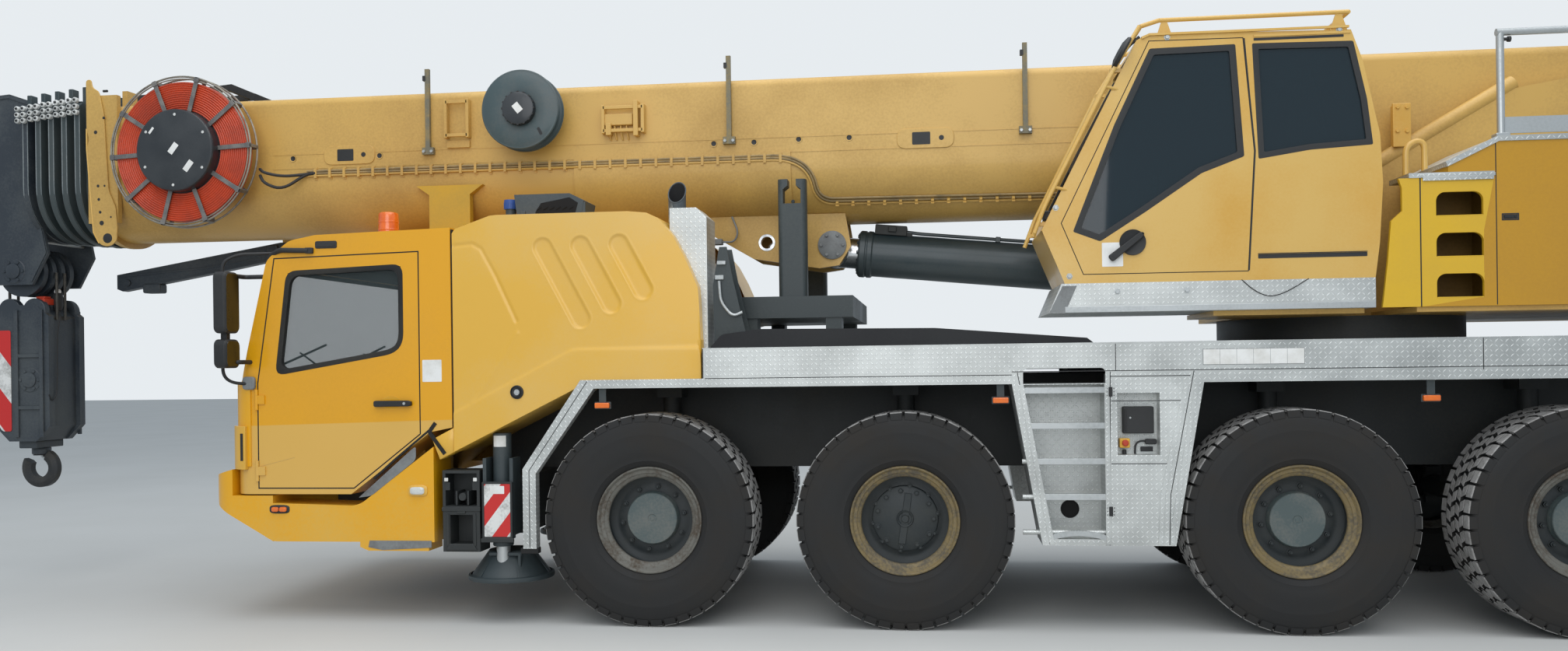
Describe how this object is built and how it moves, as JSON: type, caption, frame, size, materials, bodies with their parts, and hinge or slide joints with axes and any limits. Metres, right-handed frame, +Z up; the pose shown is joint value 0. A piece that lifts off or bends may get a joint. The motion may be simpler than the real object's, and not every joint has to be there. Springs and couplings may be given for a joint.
{
  "type": "mobile crane",
  "caption": "All-terrain mobile crane on a wheeled carrier, with telescopic boom, lift cylinder, outriggers, slewing superstructure, tilting operator's cab and hook block.",
  "frame": {"origin": "ground level under the middle of the machine's length, on its centre plane", "axes": "-X to the front of the carrier, -Y to its left side, +Z up"},
  "size_m": [15.1403, 3.2, 4.0299],
  "materials": {
    "yellow_paint": "gloss",
    "boom_paint": "gloss",
    "dark_paint": "satin",
    "frame_paint": "satin",
    "grey_paint": "satin",
    "checker_plate": "brushed",
    "tyre": "matte",
    "cab_trim": "matte",
    "glass": "clear",
    "cast_steel": "rough",
    "hose_rubber": "matte"
  },
  "bodies": {
    "carrier": {"chassis_frame": "frame_paint", "axle_beams": "cast_steel", "deck_plates": "checker_plate", "cab_shell": "yellow_paint", "bumper_steps": "cab_trim", "cab_glass": "glass", "engine_cover": "yellow_paint", "engine_block": "cast_steel", "deck_stands": "frame_paint", "exhaust_stack": "checker_plate", "mirrors": "cab_trim"},
    "wheel_left_1": {"wheel_left_1": "tyre"},
    "knuckle_left_1": {"knuckle_left_1": "cast_steel"},
    "wheel_right_1": {"wheel_right_1": "tyre"},
    "knuckle_right_1": {"knuckle_right_1": "cast_steel"},
    "wheel_left_2": {"wheel_left_2": "tyre"},
    "knuckle_left_2": {"knuckle_left_2": "cast_steel"},
    "wheel_right_2": {"wheel_right_2": "tyre"},
    "knuckle_right_2": {"knuckle_right_2": "cast_steel"},
    "wheel_left_3": {"wheel_left_3": "tyre"},
    "wheel_right_3": {"wheel_right_3": "tyre"},
    "wheel_left_4": {"wheel_left_4": "tyre"},
    "knuckle_left_4": {"knuckle_left_4": "cast_steel"},
    "wheel_right_4": {"wheel_right_4": "tyre"},
    "knuckle_right_4": {"knuckle_right_4": "cast_steel"},
    "wheel_left_5": {"wheel_left_5": "tyre"},
    "knuckle_left_5": {"knuckle_left_5": "cast_steel"},
    "wheel_right_5": {"wheel_right_5": "tyre"},
    "knuckle_right_5": {"knuckle_right_5": "cast_steel"},
    "cab_door_left": {"cab_door_left": "yellow_paint"},
    "cab_door_right": {"cab_door_right": "yellow_paint"},
    "outrigger_beam_front_left": {"outrigger_beam_front_left": "frame_paint"},
    "outrigger_leg_front_left": {"outrigger_leg_front_left": "grey_paint"},
    "outrigger_beam_front_right": {"outrigger_beam_front_right": "frame_paint"},
    "outrigger_leg_front_right": {"outrigger_leg_front_right": "grey_paint"},
    "outrigger_beam_rear_left": {"outrigger_beam_rear_left": "frame_paint"},
    "outrigger_leg_rear_left": {"outrigger_leg_rear_left": "grey_paint"},
    "outrigger_beam_rear_right": {"outrigger_beam_rear_right": "frame_paint"},
    "outrigger_leg_rear_right": {"outrigger_leg_rear_right": "grey_paint"},
    "superstructure": {"turntable": "boom_paint", "machinery_houses": "boom_paint", "walkways": "checker_plate", "counterweight": "boom_paint"},
    "winch": {"winch_drum": "cast_steel"},
    "operators_cab": {"booth_shell": "boom_paint", "booth_glass": "glass", "booth_door": "boom_paint"},
    "boom": {"boom_base": "boom_paint", "jib_beam": "dark_paint"},
    "boom_section_1": {"boom_section_1": "dark_paint"},
    "boom_section_2": {"boom_section_2": "dark_paint"},
    "boom_section_3": {"boom_section_3": "dark_paint"},
    "boom_section_4": {"boom_section_4": "dark_paint"},
    "boom_head": {"boom_head": "dark_paint"},
    "lift_barrel": {"lift_barrel": "dark_paint"},
    "lift_rod": {"lift_rod": "grey_paint"},
    "hose_reel": {"hose_reel": "hose_rubber"},
    "cable_reel": {"cable_reel": "grey_paint"},
    "hook_block": {"hook_block": "boom_paint"},
    "hook": {"hook": "cast_steel"}
  },
  "joints": [
    {"name": "steer_left_1", "type": "hinge", "parent": "carrier", "child": "knuckle_left_1", "pos_m": [-1.57, -0.96, 0.705], "axis": [0, 0, 1], "range_deg": [-33, 33]},
    {"name": "roll_left_1", "type": "hinge", "parent": "knuckle_left_1", "child": "wheel_left_1", "pos_m": [-1.57, -1.145, 0.705], "axis": [0, 1, 0], "continuous": true},
    {"name": "steer_right_1", "type": "hinge", "parent": "carrier", "child": "knuckle_right_1", "pos_m": [-1.57, 0.96, 0.705], "axis": [0, 0, 1], "range_deg": [-33, 33]},
    {"name": "roll_right_1", "type": "hinge", "parent": "knuckle_right_1", "child": "wheel_right_1", "pos_m": [-1.57, 1.145, 0.705], "axis": [0, 1, 0], "continuous": true},
    {"name": "steer_left_2", "type": "hinge", "parent": "carrier", "child": "knuckle_left_2", "pos_m": [0.12, -0.96, 0.705], "axis": [0, 0, 1], "range_deg": [-19.67, 19.67]},
    {"name": "roll_left_2", "type": "hinge", "parent": "knuckle_left_2", "child": "wheel_left_2", "pos_m": [0.12, -1.145, 0.705], "axis": [0, 1, 0], "continuous": true},
    {"name": "steer_right_2", "type": "hinge", "parent": "carrier", "child": "knuckle_right_2", "pos_m": [0.12, 0.96, 0.705], "axis": [0, 0, 1], "range_deg": [-19.67, 19.67]},
    {"name": "roll_right_2", "type": "hinge", "parent": "knuckle_right_2", "child": "wheel_right_2", "pos_m": [0.12, 1.145, 0.705], "axis": [0, 1, 0], "continuous": true},
    {"name": "roll_left_3", "type": "hinge", "parent": "carrier", "child": "wheel_left_3", "pos_m": [2.58, -1.145, 0.705], "axis": [0, 1, 0], "continuous": true},
    {"name": "roll_right_3", "type": "hinge", "parent": "carrier", "child": "wheel_right_3", "pos_m": [2.58, 1.145, 0.705], "axis": [0, 1, 0], "continuous": true},
    {"name": "steer_left_4", "type": "hinge", "parent": "carrier", "child": "knuckle_left_4", "pos_m": [4.25, -0.96, 0.705], "axis": [0, 0, 1], "range_deg": [-13.4, 13.4]},
    {"name": "roll_left_4", "type": "hinge", "parent": "knuckle_left_4", "child": "wheel_left_4", "pos_m": [4.25, -1.145, 0.705], "axis": [0, 1, 0], "continuous": true},
    {"name": "steer_right_4", "type": "hinge", "parent": "carrier", "child": "knuckle_right_4", "pos_m": [4.25, 0.96, 0.705], "axis": [0, 0, 1], "range_deg": [-13.4, 13.4]},
    {"name": "roll_right_4", "type": "hinge", "parent": "knuckle_right_4", "child": "wheel_right_4", "pos_m": [4.25, 1.145, 0.705], "axis": [0, 1, 0], "continuous": true},
    {"name": "steer_left_5", "type": "hinge", "parent": "carrier", "child": "knuckle_left_5", "pos_m": [5.92, -0.96, 0.705], "axis": [0, 0, 1], "range_deg": [-26.6, 26.6]},
    {"name": "roll_left_5", "type": "hinge", "parent": "knuckle_left_5", "child": "wheel_left_5", "pos_m": [5.92, -1.145, 0.705], "axis": [0, 1, 0], "continuous": true},
    {"name": "steer_right_5", "type": "hinge", "parent": "carrier", "child": "knuckle_right_5", "pos_m": [5.92, 0.96, 0.705], "axis": [0, 0, 1], "range_deg": [-26.6, 26.6]},
    {"name": "roll_right_5", "type": "hinge", "parent": "knuckle_right_5", "child": "wheel_right_5", "pos_m": [5.92, 1.145, 0.705], "axis": [0, 1, 0], "continuous": true},
    {"name": "door_left_swing", "type": "hinge", "parent": "carrier", "child": "cab_door_left", "pos_m": [-4.317, -1.345, 1.5], "axis": [0, 0, 1], "range_deg": [-75, 0]},
    {"name": "door_right_swing", "type": "hinge", "parent": "carrier", "child": "cab_door_right", "pos_m": [-4.317, 1.345, 1.5], "axis": [0, 0, 1], "range_deg": [0, 75]},
    {"name": "outrigger_front_left_out", "type": "slide", "parent": "carrier", "child": "outrigger_beam_front_left", "axis": [0, -1, 0], "range_m": [0, 1.9]},
    {"name": "outrigger_front_left_down", "type": "slide", "parent": "outrigger_beam_front_left", "child": "outrigger_leg_front_left", "axis": [0, 0, -1], "range_m": [0, 0.65]},
    {"name": "outrigger_front_right_out", "type": "slide", "parent": "carrier", "child": "outrigger_beam_front_right", "axis": [0, 1, 0], "range_m": [0, 1.9]},
    {"name": "outrigger_front_right_down", "type": "slide", "parent": "outrigger_beam_front_right", "child": "outrigger_leg_front_right", "axis": [0, 0, -1], "range_m": [0, 0.55]},
    {"name": "outrigger_rear_left_out", "type": "slide", "parent": "carrier", "child": "outrigger_beam_rear_left", "axis": [0, -1, 0], "range_m": [0, 1.9]},
    {"name": "outrigger_rear_left_down", "type": "slide", "parent": "outrigger_beam_rear_left", "child": "outrigger_leg_rear_left", "axis": [0, 0, -1], "range_m": [0, 0.65]},
    {"name": "outrigger_rear_right_out", "type": "slide", "parent": "carrier", "child": "outrigger_beam_rear_right", "axis": [0, 1, 0], "range_m": [0, 1.9]},
    {"name": "outrigger_rear_right_down", "type": "slide", "parent": "outrigger_beam_rear_right", "child": "outrigger_leg_rear_right", "axis": [0, 0, -1], "range_m": [0, 0.65]},
    {"name": "slew", "type": "hinge", "parent": "carrier", "child": "superstructure", "pos_m": [3.23, 0, 2], "axis": [0, 0, 1], "continuous": true},
    {"name": "winch_turn", "type": "hinge", "parent": "superstructure", "child": "winch", "pos_m": [5.58, 0, 2.56], "axis": [0, 1, 0], "continuous": true},
    {"name": "cab_tilt", "type": "hinge", "parent": "superstructure", "child": "operators_cab", "pos_m": [3.13, -0.8, 2.67], "axis": [0, 1, 0], "range_deg": [0, 20]},
    {"name": "boom_luff", "type": "hinge", "parent": "superstructure", "child": "boom", "pos_m": [5.03, 0, 3.4], "axis": [0, 1, 0], "range_deg": [0, 82]},
    {"name": "telescope_1", "type": "slide", "parent": "boom", "child": "boom_section_1", "axis": [-1, 0, 0], "range_m": [0, 8]},
    {"name": "telescope_2", "type": "slide", "parent": "boom_section_1", "child": "boom_section_2", "axis": [-1, 0, 0], "range_m": [0, 8]},
    {"name": "telescope_3", "type": "slide", "parent": "boom_section_2", "child": "boom_section_3", "axis": [-1, 0, 0], "range_m": [0, 8]},
    {"name": "telescope_4", "type": "slide", "parent": "boom_section_3", "child": "boom_section_4", "axis": [-1, 0, 0], "range_m": [0, 8]},
    {"name": "telescope_5", "type": "slide", "parent": "boom_section_4", "child": "boom_head", "axis": [-1, 0, 0], "range_m": [0, 8]},
    {"name": "lift_swing", "type": "hinge", "parent": "superstructure", "child": "lift_barrel", "pos_m": [3.08, 0, 2.24], "axis": [0, 1, 0], "range_deg": [0, 88]},
    {"name": "lift_stroke", "type": "slide", "parent": "lift_barrel", "child": "lift_rod", "axis": [-0.9953, 0, 0.0967], "range_m": [0, 2.943]},
    {"name": "hose_reel_turn", "type": "hinge", "parent": "boom", "child": "hose_reel", "pos_m": [-5.33, -0.6, 3.4], "axis": [0, 1, 0], "continuous": true},
    {"name": "cable_reel_turn", "type": "hinge", "parent": "boom", "child": "cable_reel", "pos_m": [-2.65, -0.6, 3.61], "axis": [0, 1, 0], "continuous": true},
    {"name": "hook_block_hang", "type": "hinge", "parent": "boom_head", "child": "hook_block", "pos_m": [-7.05, 0, 2.56], "axis": [0, 1, 0], "range_deg": [-83, 1]},
    {"name": "hook_swivel", "type": "hinge", "parent": "hook_block", "child": "hook", "pos_m": [-7.05, 0, 1.1], "axis": [0, 0, 1], "continuous": true}
  ],
  "couplings": [
    {"joint": "steer_right_1", "follows": "steer_left_1", "ratio": 1},
    {"joint": "steer_left_2", "follows": "steer_left_1", "ratio": 0.59},
    {"joint": "steer_right_2", "follows": "steer_left_1", "ratio": 0.59},
    {"joint": "steer_left_4", "follows": "steer_left_1", "ratio": -0.4},
    {"joint": "steer_right_4", "follows": "steer_left_1", "ratio": -0.4},
    {"joint": "steer_left_5", "follows": "steer_left_1", "ratio": -0.8},
    {"joint": "steer_right_5", "follows": "steer_left_1", "ratio": -0.8},
    {"joint": "telescope_2", "follows": "telescope_1", "ratio": 1},
    {"joint": "telescope_3", "follows": "telescope_1", "ratio": 1},
    {"joint": "telescope_4", "follows": "telescope_1", "ratio": 1},
    {"joint": "telescope_5", "follows": "telescope_1", "ratio": 1},
    {"joint": "lift_swing", "follows": "boom_luff", "ratio": 1.0707},
    {"joint": "lift_stroke", "follows": "boom_luff", "m_per_rad": 2.053},
    {"joint": "hook_block_hang", "follows": "boom_luff", "ratio": -1}
  ]
}
